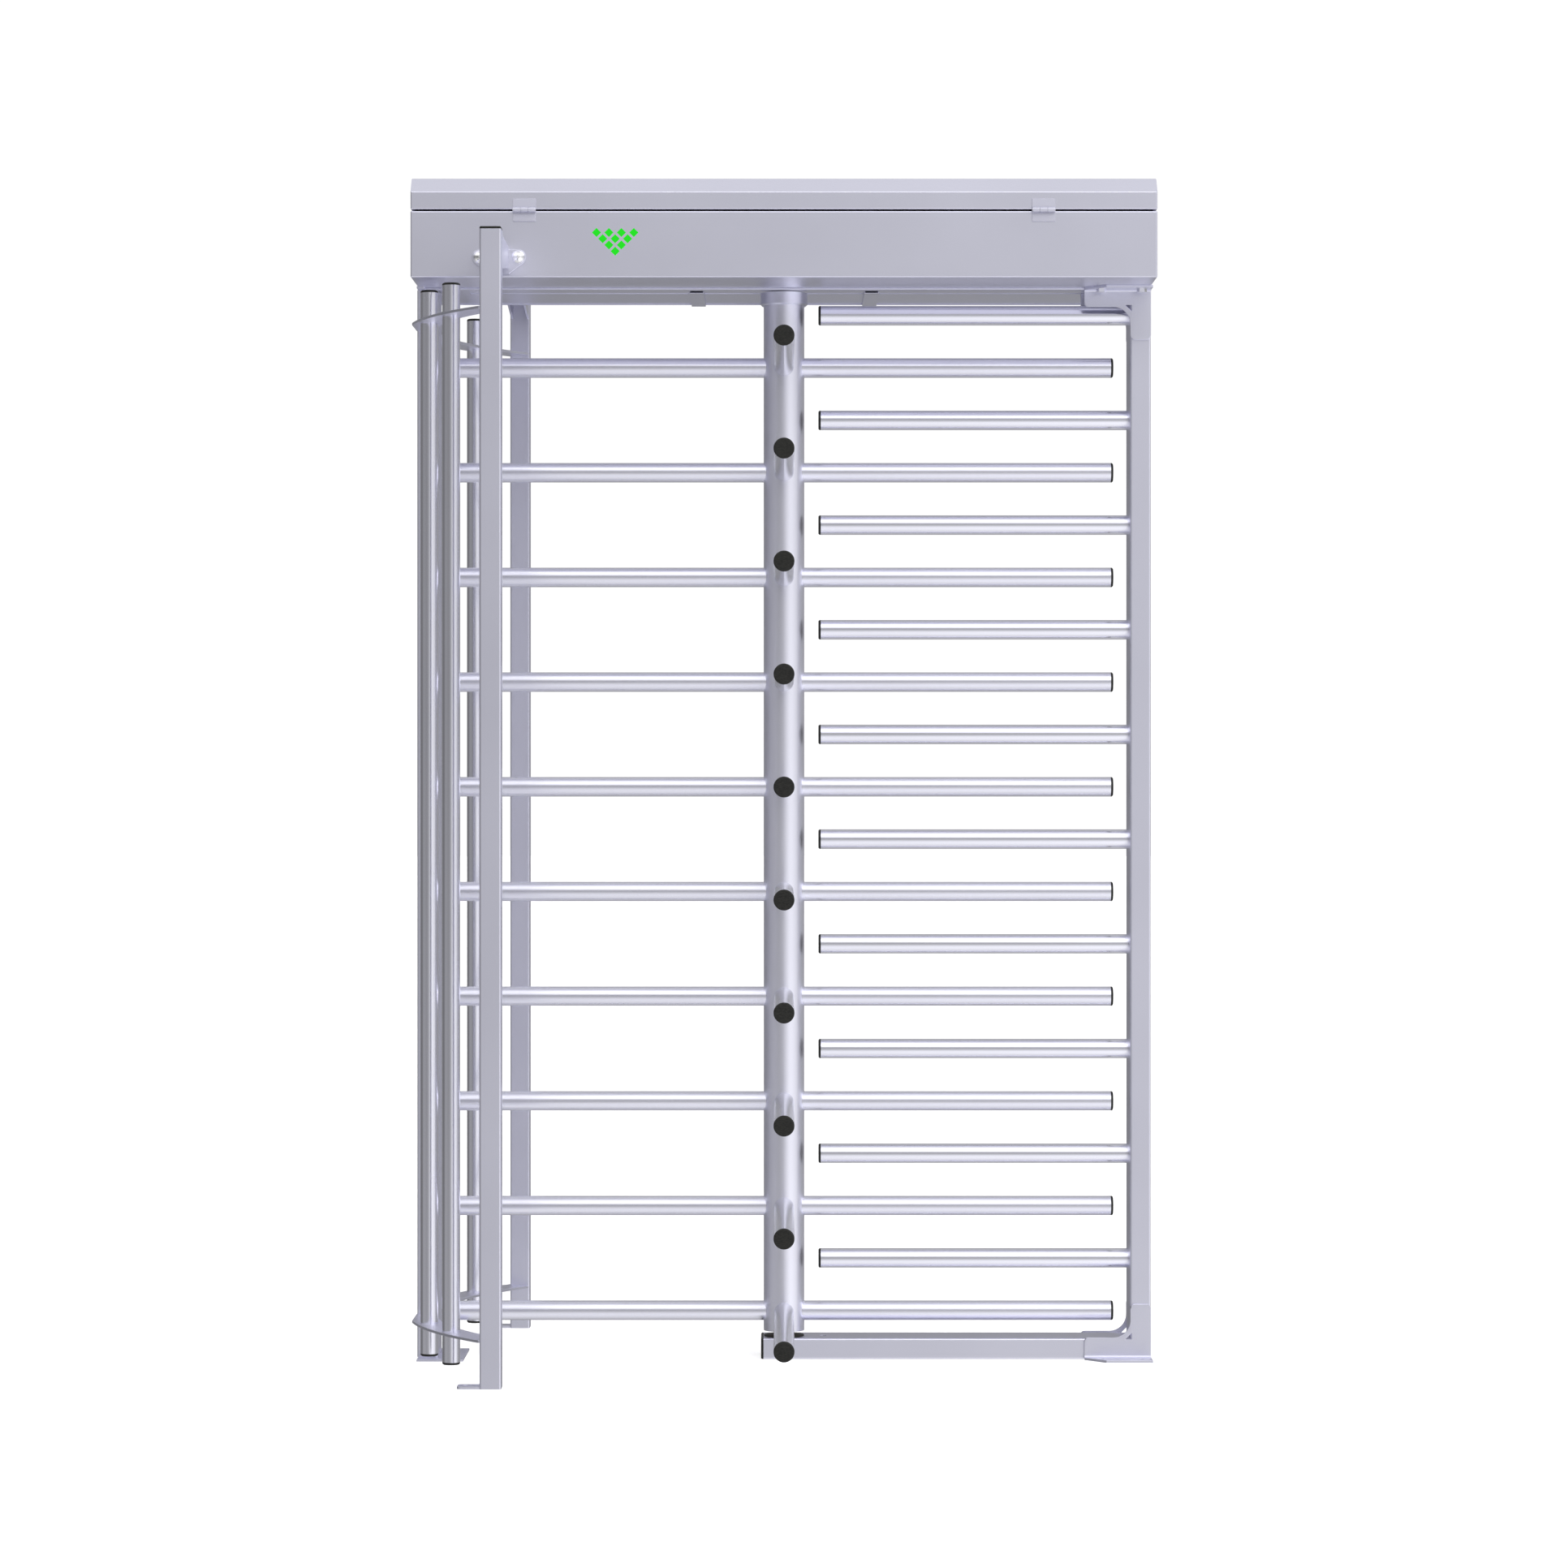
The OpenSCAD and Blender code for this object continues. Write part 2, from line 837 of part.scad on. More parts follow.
module mechanism_plate() {
    color("slategray")
        difference() {
            translate([-180, -130, plate_z])
                cube([360, 260, plate_t]);
            translate([0, 0, plate_z - eps])
                cylinder(r = shaft_r + 4, h = plate_t + 2 * eps);
            at_pillars()
                translate([0, 0, plate_z - eps])
                    cylinder(r = 4 + fit, h = plate_t + 2 * eps);
        }
}

module plate_pillars() {
    color("silver")
        at_pillars() {
            translate([0, 0, header_z + floor_t])
                cylinder(r = 10, h = plate_z - header_z - floor_t);
            translate([0, 0, plate_z - eps])
                cylinder(r = 4, h = plate_t + 9);
            translate([0, 0, deck_z])
                cylinder(r = 7.5, h = 6.5, $fn = 6);
        }
}

// A shouldered pin on the mechanism plate: the part turns between low and high
module shouldered_pin(low, high) {
    translate([0, 0, deck_z])
        cylinder(r = 7, h = low - 0.3 - deck_z);
    translate([0, 0, deck_z])
        cylinder(r = pawl_pin_r, h = high + 2 - deck_z);
    translate([0, 0, high + 0.3])
        cylinder(r = 8, h = 2.5);
}

module pivot_pins() {
    color("silver") {
        for (x = [-pawl_x, pawl_x])
            translate([x, pawl_y, 0])
                shouldered_pin(wheel_z + 1, wheel_z + wheel_t - 1);
        translate([lever_x, roller_y, 0])
            shouldered_pin(lever_z, lever_z + lever_t);
        difference() {
            translate([lever_x + coil_r + wire_r - 10, roller_y + 16, deck_z])
                cube([13.5, 10, spring_z - deck_z + 6]);
            translate([lever_x + coil_r + wire_r - 7, roller_y + 10, spring_z - 3])
                cube([7.5, 20, 20]);
        }
    }
}

module solenoid_coils() {
    color("darkslategray")
        for (side = [-1, 1])
            difference() {
                translate([side * solenoid_x, tail_y, plunger_z])
                    cube([50, 40, 2 * (plunger_z - deck_z)], center = true);
                translate([side * solenoid_x, tail_y, plunger_z])
                    rotate([0, 90, 0])
                        cylinder(r = plunger_r + run, h = 60, center = true);
            }
}

module rotation_sensor() {
    color("darkslategray")
        difference() {
            translate([-8, -disc_r - 20, deck_z])
                cube([16, 28, disc_z - deck_z + 10]);
            translate([-9, -disc_r - 12, deck_z + 8])
                cube([18, 40, cam_z + cam_t + 1.5 - deck_z - 8]);
            translate([-9, -disc_r - 12, deck_z - eps])
                cube([18, 40, 9 + eps]);
            translate([-9, -disc_r - 6, disc_z - 3])
                cube([18, 40, disc_t + 6]);
        }
}

module control_board() {
    color("seagreen") {
        translate([210, -60, header_z + 14])
            cube([160, 120, 1.6]);
        for (x = [218, 362])
            for (y = [-52, 52])
                translate([x, y, header_z + floor_t])
                    cylinder(r = 3, h = 12);
        translate([225, -40, header_z + 15])
            cube([40, 24, 16]);
        translate([290, -30, header_z + 15])
            cube([30, 30, 4]);
        translate([230, 20, header_z + 15])
            cube([110, 14, 12]);
    }
}

module power_supply() {
    color("silver")
        translate([395, -60, header_z + floor_t])
            cube([120, 120, 40]);
}

module cable_gland() {
    color("dimgray")
        translate([frame_x - 70, 150, header_z])
            difference() {
                union() {
                    translate([0, 0, -9])
                        cylinder(r = 12, h = 9, $fn = 6);
                    translate([0, 0, -eps])
                        cylinder(r = 8, h = floor_t + 8);
                    translate([0, 0, floor_t])
                        cylinder(r = 12, h = 5, $fn = 6);
                }
                translate([0, 0, -20])
                    cylinder(r = 4.5, h = 60);
            }
}

module lock_hook() {
    color("gray") {
        translate([22, half_d - 16, lock_z - 54])
            cube([14, 14, 16]);
        translate([22, half_d - 19, lock_z - 54])
            cube([14, 3 + eps, 67]);
        translate([22, half_d - 30, lock_z + 10])
            cube([14, 11 + eps, 3]);
    }
}

// ---------- rotor ----------

column_z = post_w + column_lift;
column_top = header_z - 18.5;
collar_z = header_z - 5.5 - collar_h;

module column() {
    color("lightsteelblue")
        translate([0, 0, column_z])
            pipe(column_r, column_wall, column_top - column_z);
}

// One wing of arms along +x, with each root cut to sit on the column
module wing() {
    color("lightsteelblue")
        for (k = [0 : arm_count - 1])
            translate([0, 0, lowest_arm_z + k * arm_pitch])
                difference() {
                    translate([column_r - 8, 0, 0])
                        rotate([0, 90, 0])
                            pipe(arm_r, arm_wall, rotor_r - cap_t - column_r + 8);
                    cylinder(r = column_r, h = 3 * arm_r, center = true);
                }
}

module wing_right() {
    wing();
}

module wing_rear() {
    rotate([0, 0, 90])
        wing();
}

module wing_left() {
    rotate([0, 0, 180])
        wing();
}

module wing_front() {
    rotate([0, 0, -90])
        wing();
}

module arm_caps() {
    color("dimgray")
        for (turn = [0 : 90 : 270])
            rotate([0, 0, turn])
                for (k = [0 : arm_count - 1])
                    translate([rotor_r - cap_t, 0, lowest_arm_z + k * arm_pitch])
                        rotate([0, 90, 0])
                            round_cap(arm_r, arm_wall);
}

module collar() {
    color("lightsteelblue")
        difference() {
            union() {
                translate([0, 0, collar_z])
                    cylinder(r1 = collar_r - 3, r2 = collar_r, h = 3);
                translate([0, 0, collar_z + 3])
                    cylinder(r = collar_r, h = collar_h - 3);
            }
            translate([0, 0, collar_z - eps])
                cylinder(r = column_r + 0.05, h = column_top - collar_z + eps);
            translate([0, 0, collar_z])
                cylinder(r = shaft_r + 0.05, h = collar_h + eps);
        }
}

module top_shaft() {
    color("silver") {
        translate([0, 0, column_top - 60])
            cylinder(r = column_r - column_wall - 0.05, h = 60);
        translate([0, 0, column_top - eps])
            cylinder(r = shaft_r, h = shaft_top - column_top + eps);
    }
}

module lower_bush() {
    color("tan")
        translate([0, 0, column_z])
            pipe(column_r - column_wall - 0.05, column_r - column_wall - 0.05 - pivot_r - run, 30);
}

module shaft_bore() {
    translate([0, 0, header_z])
        cylinder(r = shaft_r + 0.05, h = 120);
}

module lock_wheel() {
    color("silver")
        difference() {
            union() {
                translate([0, 0, wheel_z])
                    cylinder(r = wheel_r, h = wheel_t);
                translate([0, 0, bearing_z + bearing_h + 0.3])
                    cylinder(r = shaft_r + 2.5, h = wheel_z - bearing_z - bearing_h);
            }
            shaft_bore();
            for (turn = [0 : 45 : 315])
                rotate([0, 0, turn])
                    translate([wheel_r - 12, -10, wheel_z - eps])
                        cube([20, 20, wheel_t + 2 * eps]);
        }
}

module index_cam() {
    color("silver")
        difference() {
            union() {
                translate([0, 0, cam_z])
                    cylinder(r = cam_r, h = cam_t);
                translate([0, 0, wheel_z + wheel_t])
                    cylinder(r = shaft_r + 7, h = disc_z - wheel_z - wheel_t);
            }
            shaft_bore();
            for (turn = [0 : 90 : 270])
                rotate([0, 0, turn])
                    translate([0, valley_y, cam_z - eps])
                        cylinder(r = valley_r, h = cam_t + 2 * eps);
        }
}

module sensor_disc() {
    color("silver")
        difference() {
            union() {
                translate([0, 0, disc_z])
                    cylinder(r = disc_r, h = disc_t);
                translate([0, 0, disc_z])
                    cylinder(r = shaft_r + 7, h = 5);
            }
            shaft_bore();
            for (turn = [0 : 45 : 315])
                rotate([0, 0, turn])
                    translate([disc_r - 10, -3, disc_z - eps])
                        cube([14, 6, disc_t + 2 * eps]);
        }
}

// ---------- index lever ----------

module index_lever() {
    color("goldenrod")
        difference() {
            union() {
                translate([0, 0, lever_z])
                    linear_extrude(height = lever_t) {
                        translate([0, roller_y - lever_w / 2])
                            square([lever_x, lever_w]);
                        translate([0, roller_y])
                            circle(r = lever_w / 2);
                        translate([lever_x, roller_y])
                            circle(r = 10);
                    }
                translate([0, roller_y, cam_z - 0.3])
                    cylinder(r = 4, h = lever_z - cam_z + 1);
                translate([0, roller_y, cam_z - 2.5])
                    cylinder(r = 6, h = 2.2);
            }
            translate([lever_x, roller_y, lever_z - eps])
                cylinder(r = pawl_pin_r + run, h = lever_t + 2 * eps);
        }
}

module index_roller() {
    color("dimgray")
        translate([0, roller_y, cam_z])
            pipe(roller_r, roller_r - 4 - run, cam_t + 0.5);
}

module index_spring() {
    color("silver")
        translate([lever_x, roller_y, spring_z]) {
            rotate_extrude() {
                for (k = [0 : spring_turns])
                    translate([coil_r, 2.2 * k])
                        circle(r = wire_r);
                translate([coil_r - 0.5, 0])
                    square([1, 2.2 * spring_turns]);
            }
            translate([coil_r, 0, 0])
                rotate([-90, 0, 0])
                    cylinder(r = wire_r, h = 24);
            translate([0, lever_w / 2 + wire_r, 2.2 * spring_turns])
                rotate([0, -90, 0])
                    cylinder(r = wire_r, h = 40);
            translate([-40, lever_w / 2 + wire_r, 2.2 * spring_turns - wire_r])
                cylinder(r = wire_r, h = lever_z + lever_t - spring_z - 2.2 * spring_turns + wire_r);
        }
}

// ---------- pawls and their plungers, drawn for the +X side ----------

module pawl() {
    color("goldenrod") {
        translate([0, 0, wheel_z + 1])
            linear_extrude(height = wheel_t - 2)
                difference() {
                    union() {
                        translate([pawl_x, pawl_y])
                            circle(r = 10);
                        translate([pawl_x - 7, pawl_y])
                            square([14, tail_y - pawl_y]);
                        translate([pawl_x, tail_y])
                            circle(r = 7);
                        translate([nose_x, nose_low])
                            square([pawl_x - nose_x, nose_w]);
                    }
                    translate([pawl_x, pawl_y])
                        circle(r = pawl_pin_r + run);
                }
        translate([pawl_x, tail_y, wheel_z + 2])
            cylinder(r = tail_pin_r, h = plunger_z + 7 - wheel_z - 2);
    }
}

module plunger() {
    color("silver")
        difference() {
            union() {
                translate([pawl_x - 8, tail_y - 8, plunger_z - 5])
                    cube([17, 16, 10]);
                translate([pawl_x + 8, tail_y, plunger_z])
                    rotate([0, 90, 0])
                        cylinder(r = plunger_r, h = 62);
            }
            translate([pawl_x - tail_pin_r - 0.35, tail_y - tail_pin_r - 2, plunger_z - 10])
                cube([2 * tail_pin_r + 0.7, 2 * tail_pin_r + 2.5, 20]);
        }
}

module exit_pawl() {
    pawl();
}

module entry_pawl() {
    mirror([1, 0, 0])
        pawl();
}

module exit_plunger() {
    plunger();
}

module entry_plunger() {
    mirror([1, 0, 0])
        plunger();
}

// ---------- lid ----------

bend = tan(22.5) * edge_r;

module lid_profile(inset) {
    outer = half_d - inset;
    side = lid_side_h - inset * tan(22.5);
    top = lid_h - inset;
    shoulder = half_d - lid_slant - inset * tan(22.5);
    foot = inset > 0 ? inset : 0;
    polygon(concat(arc_points(edge_r - outer, foot + edge_r, edge_r, 180, 270),
        arc_points(outer - edge_r, foot + edge_r, edge_r, 270, 360),
        arc_points(outer - edge_r, side - bend, edge_r, 0, 45),
        arc_points(shoulder - bend, top - edge_r, edge_r, 45, 90),
        arc_points(bend - shoulder, top - edge_r, edge_r, 90, 135),
        arc_points(edge_r - outer, side - bend, edge_r, 135, 180)));
}

module header_lid() {
    color("lightsteelblue")
        translate([0, 0, lid_z])
            difference() {
                intersection() {
                    rotate([90, 0, 90])
                        linear_extrude(height = 2 * header_x, center = true)
                            lid_profile(0);
                    linear_extrude(height = lid_h + 1)
                        rounded(2 * header_x, header_d, edge_r);
                    translate([0, 0, lid_h / 2])
                        rotate([90, 0, 0])
                            linear_extrude(height = header_d + 2, center = true)
                                rounded(2 * header_x, lid_h, edge_r);
                }
                rotate([90, 0, 90])
                    linear_extrude(height = 2 * (header_x - sheet), center = true)
                        lid_profile(sheet);
                translate([lid_hem - header_x, lid_hem - half_d, -eps])
                    cube([2 * (header_x - lid_hem), header_d - 2 * lid_hem, sheet + edge_r + 2 * eps]);
                translate([0, half_d, lock_z - lid_z])
                    rotate([90, 0, 0])
                        cylinder(r = 9 + fit, h = 20, center = true);
            }
}

module lock_barrel() {
    color("silver")
        difference() {
            union() {
                translate([0, half_d + 2, lock_z])
                    rotate([90, 0, 0])
                        cylinder(r = 9, h = 22.5);
                translate([0, half_d + 2, lock_z])
                    rotate([90, 0, 0])
                        cylinder(r = 12, h = 2);
                translate([0, half_d - sheet, lock_z])
                    rotate([90, 0, 0])
                        cylinder(r = 13, h = 5, $fn = 6);
            }
            translate([0, half_d - 24, lock_z])
                rotate([-90, 0, 0])
                    cylinder(r = 4 + run, h = 16);
            translate([-0.8, half_d - 1, lock_z - 3.5])
                cube([1.6, 5, 7]);
        }
}

module lock_cam() {
    color("gray") {
        translate([-7, half_d - 24, lock_z - 35])
            cube([14, 3, 35]);
        translate([0, half_d - 24, lock_z])
            rotate([-90, 0, 0])
                cylinder(r = 7, h = 3);
        translate([0, half_d - 24, lock_z])
            rotate([-90, 0, 0])
                cylinder(r = 4, h = 15);
    }
}

// ---------- one sub-part, or the whole turnstile ----------

right_post();
left_post();
bottom_beam();
beam_end_cap();
top_bar();
foot_plates();
bottom_gussets();
top_gussets();
comb_arms();
comb_caps();
cage_posts();
cage_tubes();
cage_caps();
upper_arc_plates();
lower_arc_plates();
post_brackets();
bracket_bolts();
header_tray();
support_channels();
gusset_bolts();
lower_hinge_leaves();
hinge_pins();
indicator_board();
indicator_lenses();
bearing_housing();
upper_bearing();
mechanism_plate();
plate_pillars();
pivot_pins();
solenoid_coils();
rotation_sensor();
control_board();
power_supply();
cable_gland();
lock_hook();
pivot_pin();
thrust_washer();
column();
wing_front();
wing_rear();
wing_left();
wing_right();
arm_caps();
collar();
top_shaft();
lock_wheel();
index_cam();
sensor_disc();
lower_bush();
index_lever();
index_roller();
index_spring();
entry_pawl();
exit_pawl();
entry_plunger();
exit_plunger();
header_lid();
upper_hinge_leaves();
lock_barrel();
lock_cam();
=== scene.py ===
import math
import bmesh
import bpy
from mathutils import Matrix, Vector


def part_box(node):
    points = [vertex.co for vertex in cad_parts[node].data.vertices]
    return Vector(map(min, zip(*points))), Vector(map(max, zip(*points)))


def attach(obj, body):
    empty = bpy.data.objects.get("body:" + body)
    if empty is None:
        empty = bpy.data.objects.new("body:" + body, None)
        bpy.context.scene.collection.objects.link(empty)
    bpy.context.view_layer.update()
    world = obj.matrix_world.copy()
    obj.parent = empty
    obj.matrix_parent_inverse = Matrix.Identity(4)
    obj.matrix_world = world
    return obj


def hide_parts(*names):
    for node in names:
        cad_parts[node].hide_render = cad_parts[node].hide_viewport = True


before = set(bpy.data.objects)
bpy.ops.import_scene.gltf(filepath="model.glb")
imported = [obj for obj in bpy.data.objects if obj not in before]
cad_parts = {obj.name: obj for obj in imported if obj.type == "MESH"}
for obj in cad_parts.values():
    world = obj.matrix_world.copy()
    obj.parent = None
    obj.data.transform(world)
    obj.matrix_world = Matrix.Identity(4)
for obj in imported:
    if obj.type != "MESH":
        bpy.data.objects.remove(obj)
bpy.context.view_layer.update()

scene = bpy.context.scene
upright = (0.0, 0.0, 1.0)
sideways = (1.0, 0.0, 0.0)

# ---------- Camera ----------
# A long lens stands square to the front of the turnstile, at chest height and a little
# under nine metres away, so that the upright posts stay upright.
film_width_mm = 36.0
lens_length_mm = 102.07
camera_distance = 8.655
camera_height = 1.1134
camera_data = bpy.data.cameras.new("front_camera")
camera_data.sensor_width = film_width_mm
camera_data.lens = lens_length_mm
camera_data.clip_end = 200.0
camera = bpy.data.objects.new("front_camera", camera_data)
camera.location = (0.0, -camera_distance, camera_height)
camera.rotation_euler = (math.radians(90.0), 0.0, 0.0)
scene.collection.objects.link(camera)
scene.camera = camera
scene.view_settings.view_transform = "Standard"

# ---------- Studio ----------
# The turnstile stands on a pale floor in a white room. A wide soft lamp hangs above and
# in front of it, the light from the right is the stronger, and the room behind is dim.
room_strength = 4.2
wall_strength = 1.05
middle_level = 0.5
front_falloff = 2.5
floor_half_width = 60.0
floor_drop = 0.0005
floor_glow = 0.62

world = bpy.data.worlds.new("white_room")
scene.world = world
world.use_nodes = True
room = world.node_tree
room.nodes.clear()


def feed(socket, value):
    """Links an output to a socket of the room's tree, or sets the socket to a number."""
    if isinstance(value, (int, float)):
        socket.default_value = value
    else:
        room.links.new(value, socket)


def room_math(operation, *values, clamp=False):
    node = room.nodes.new("ShaderNodeMath")
    node.operation = operation
    node.use_clamp = clamp
    for socket, value in zip(node.inputs, values):
        feed(socket, value)
    return node.outputs[0]


def room_levels(angle, low, high, stops):
    """Light levels over an angle: stops are (degrees, level) pairs, joined smoothly."""
    ramp = room.nodes.new("ShaderNodeValToRGB")
    ramp.color_ramp.interpolation = "B_SPLINE"
    while len(ramp.color_ramp.elements) < len(stops):
        ramp.color_ramp.elements.new(0.5)
    for element, (at, level) in zip(ramp.color_ramp.elements, stops):
        element.position = (at - low) / (high - low)
        element.color = (level, level, level, 1.0)
    from_low = room_math("SUBTRACT", angle, math.radians(low))
    room.links.new(room_math("DIVIDE", from_low, math.radians(high - low)), ramp.inputs[0])
    return ramp.outputs[0]


def room_blend(amount, first, second):
    mix = room.nodes.new("ShaderNodeMix")
    mix.data_type = "FLOAT"
    room.links.new(amount, mix.inputs[0])
    for socket, value in zip(mix.inputs[2:4], (first, second)):
        feed(socket, value)
    return mix.outputs[0]


heading = room.nodes.new("ShaderNodeSeparateXYZ")
room.links.new(room.nodes.new("ShaderNodeTexCoord").outputs["Generated"], heading.inputs[0])
across, away, upward = heading.outputs
forward = room_math("MULTIPLY", away, -1.0)
elevation = room_math("ARCSINE", upward)
bearing = room_math("ARCTAN2", across, forward)
front_levels = room_levels(elevation, -90.0, 90.0, [
    (-90, 0.44), (-72, 0.52), (-58, 0.58), (-45, 0.62), (-30, 0.62), (-20, 0.54), (-10, 0.37),
    (0, 0.27), (9, 0.24), (19, 0.30), (27, 0.85), (35, 1.55), (50, 1.50), (60, 0.85),
    (72, 0.58), (90, 0.50)])
rear_levels = room_levels(elevation, -90.0, 90.0, [
    (-90, 0.44), (-70, 0.36), (-50, 0.28), (-20, 0.16), (0, 0.15), (30, 0.20), (55, 0.27),
    (90, 0.50)])
side_levels = room_levels(bearing, -180.0, 180.0, [
    (-180, 0.55), (-130, 0.33), (-95, 0.30), (-72, 0.33), (-40, 0.27), (-15, 0.27), (0, 0.415),
    (14, 0.70), (30, 0.98), (48, 0.94), (75, 0.74), (100, 0.62), (135, 0.66), (180, 0.55)])
frontness = room_math("MULTIPLY_ADD", forward, front_falloff, 0.5, clamp=True)
flatness = room_math("SUBTRACT", 1.0, room_math("MULTIPLY", upward, upward))
height_level = room_blend(frontness, rear_levels, front_levels)
side_level = room_blend(flatness, middle_level, side_levels)
level = room_math("MULTIPLY", room_math("MULTIPLY", height_level, side_level), room_strength)
soft_light = room.nodes.new("ShaderNodeBackground")
room.links.new(level, soft_light.inputs["Strength"])
white_wall = room.nodes.new("ShaderNodeBackground")
white_wall.inputs["Color"].default_value = (1.0, 1.0, 1.0, 1.0)
white_wall.inputs["Strength"].default_value = wall_strength
choose = room.nodes.new("ShaderNodeMixShader")
seen = room.nodes.new("ShaderNodeLightPath").outputs["Is Camera Ray"]
for value, socket in zip((seen, soft_light.outputs[0], white_wall.outputs[0]), choose.inputs):
    room.links.new(value, socket)
room_surface = room.nodes.new("ShaderNodeOutputWorld").inputs["Surface"]
room.links.new(choose.outputs[0], room_surface)


def plain_material(name):
    """A new material with its nodes, its link call and its surface shader."""
    material = bpy.data.materials.new(name)
    material.use_nodes = True
    tree = material.node_tree
    return material, tree.nodes, tree.links.new, tree.nodes["Principled BSDF"]


floor_shape = bmesh.new()
bmesh.ops.create_grid(floor_shape, x_segments=1, y_segments=1, size=floor_half_width)
bmesh.ops.translate(floor_shape, verts=floor_shape.verts, vec=(0.0, 0.0, -floor_drop))
floor_mesh = bpy.data.meshes.new("pale_floor")
floor_shape.to_mesh(floor_mesh)
floor_shape.free()
floor = bpy.data.objects.new("pale_floor", floor_mesh)
scene.collection.objects.link(floor)
floor.visible_glossy = False
floor.visible_diffuse = False
floor_paint, _, _, floor_shader = plain_material("pale_floor_paint")
floor_shader.inputs["Base Color"].default_value = (0.9, 0.9, 0.9, 1.0)
floor_shader.inputs["Roughness"].default_value = 0.9
floor_shader.inputs["Specular IOR Level"].default_value = 0.0
floor_shader.inputs["Emission Color"].default_value = (1.0, 1.0, 1.0, 1.0)
floor_shader.inputs["Emission Strength"].default_value = floor_glow
floor_mesh.materials.append(floor_paint)

# ---------- Posts, beam and case: satin silver coat ----------
# Folded sheet and square tube carry one satin silver coat with a faint violet cast.
# Sprayed coats flow into a fine peel, and the metal flakes in them lie unevenly.
flake_scale = 900.0
cloud_scale = 3.5
flake_spread = 0.05
peel_strength = 0.12
fold_round = 0.0006
rolled_round = 0.0005
sharp_from = 32.0


def coat_texture_group():
    group = bpy.data.node_groups.new("sprayed_coat", "ShaderNodeTree")
    for name, kind in [("Colour", "NodeSocketColor"), ("Flake", "NodeSocketFloat"),
                       ("Roughness", "NodeSocketFloat"), ("Unevenness", "NodeSocketFloat"),
                       ("Peel Scale", "NodeSocketFloat")]:
        group.interface.new_socket(name, in_out="INPUT", socket_type=kind)
    for name, kind in [("Colour", "NodeSocketColor"), ("Roughness", "NodeSocketFloat"),
                       ("Height", "NodeSocketFloat")]:
        group.interface.new_socket(name, in_out="OUTPUT", socket_type=kind)
    nodes, link = group.nodes, group.links.new
    given, out = nodes.new("NodeGroupInput"), nodes.new("NodeGroupOutput")
    place = nodes.new("ShaderNodeTexCoord").outputs["Object"]

    def noise(detail):
        texture = nodes.new("ShaderNodeTexNoise")
        texture.inputs["Detail"].default_value = detail
        link(place, texture.inputs["Vector"])
        return texture

    def maths(operation):
        node = nodes.new("ShaderNodeMath")
        node.operation = operation
        return node

    flakes, clouds, peel = noise(1.0), noise(3.0), noise(2.0)
    flakes.inputs["Scale"].default_value = flake_scale
    clouds.inputs["Scale"].default_value = cloud_scale
    link(given.outputs["Peel Scale"], peel.inputs["Scale"])
    speckle = maths("ADD")
    link(flakes.outputs["Fac"], speckle.inputs[0])
    link(clouds.outputs["Fac"], speckle.inputs[1])
    centred = maths("SUBTRACT")
    centred.inputs[1].default_value = 1.0
    link(speckle.outputs[0], centred.inputs[0])
    shade = maths("MULTIPLY_ADD")
    shade.inputs[2].default_value = 1.0
    link(centred.outputs[0], shade.inputs[0])
    link(given.outputs["Flake"], shade.inputs[1])
    tinted = nodes.new("ShaderNodeVectorMath")
    tinted.operation = "SCALE"
    link(given.outputs["Colour"], tinted.inputs[0])
    link(shade.outputs[0], tinted.inputs["Scale"])
    link(tinted.outputs[0], out.inputs["Colour"])
    haze = maths("MULTIPLY_ADD")
    link(centred.outputs[0], haze.inputs[0])
    link(given.outputs["Unevenness"], haze.inputs[1])
    link(given.outputs["Roughness"], haze.inputs[2])
    link(haze.outputs[0], out.inputs["Roughness"])
    link(peel.outputs["Fac"], out.inputs["Height"])
    return group


sprayed_coat = coat_texture_group()


def silver_coat(name, colour, roughness, unevenness, peel_scale, peel_depth, metallic=1.0):
    material, nodes, link, shader = plain_material(name)
    shader.inputs["Metallic"].default_value = metallic
    texture = nodes.new("ShaderNodeGroup")
    texture.node_tree = sprayed_coat
    texture.inputs["Colour"].default_value = (*colour, 1.0)
    texture.inputs["Flake"].default_value = flake_spread
    texture.inputs["Roughness"].default_value = roughness
    texture.inputs["Unevenness"].default_value = unevenness
    texture.inputs["Peel Scale"].default_value = peel_scale
    bump = nodes.new("ShaderNodeBump")
    bump.inputs["Strength"].default_value = peel_strength
    bump.inputs["Distance"].default_value = peel_depth
    link(texture.outputs["Colour"], shader.inputs["Base Color"])
    link(texture.outputs["Roughness"], shader.inputs["Roughness"])
    link(texture.outputs["Height"], bump.inputs["Height"])
    link(bump.outputs[0], shader.inputs["Normal"])
    return material


def dress(node, material):
    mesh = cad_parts[node].data
    mesh.materials.clear()
    mesh.materials.append(material)


def ease_edges(node, width):
    """Folded and sawn edges are never knife sharp: a small round catches the light."""
    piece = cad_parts[node]
    joined = piece.modifiers.new("joined", "WELD")
    joined.merge_threshold = 0.00001
    round_off = piece.modifiers.new("round_off", "BEVEL")
    round_off.affect = "EDGES"
    round_off.width = width
    round_off.segments = 2
    round_off.profile = 0.5
    round_off.material = -1
    round_off.limit_method = "ANGLE"
    round_off.angle_limit = math.radians(sharp_from)
    round_off.use_clamp_overlap = False
    even = piece.modifiers.new("even", "WEIGHTED_NORMAL")
    even.mode = "FACE_AREA"
    even.weight = 50


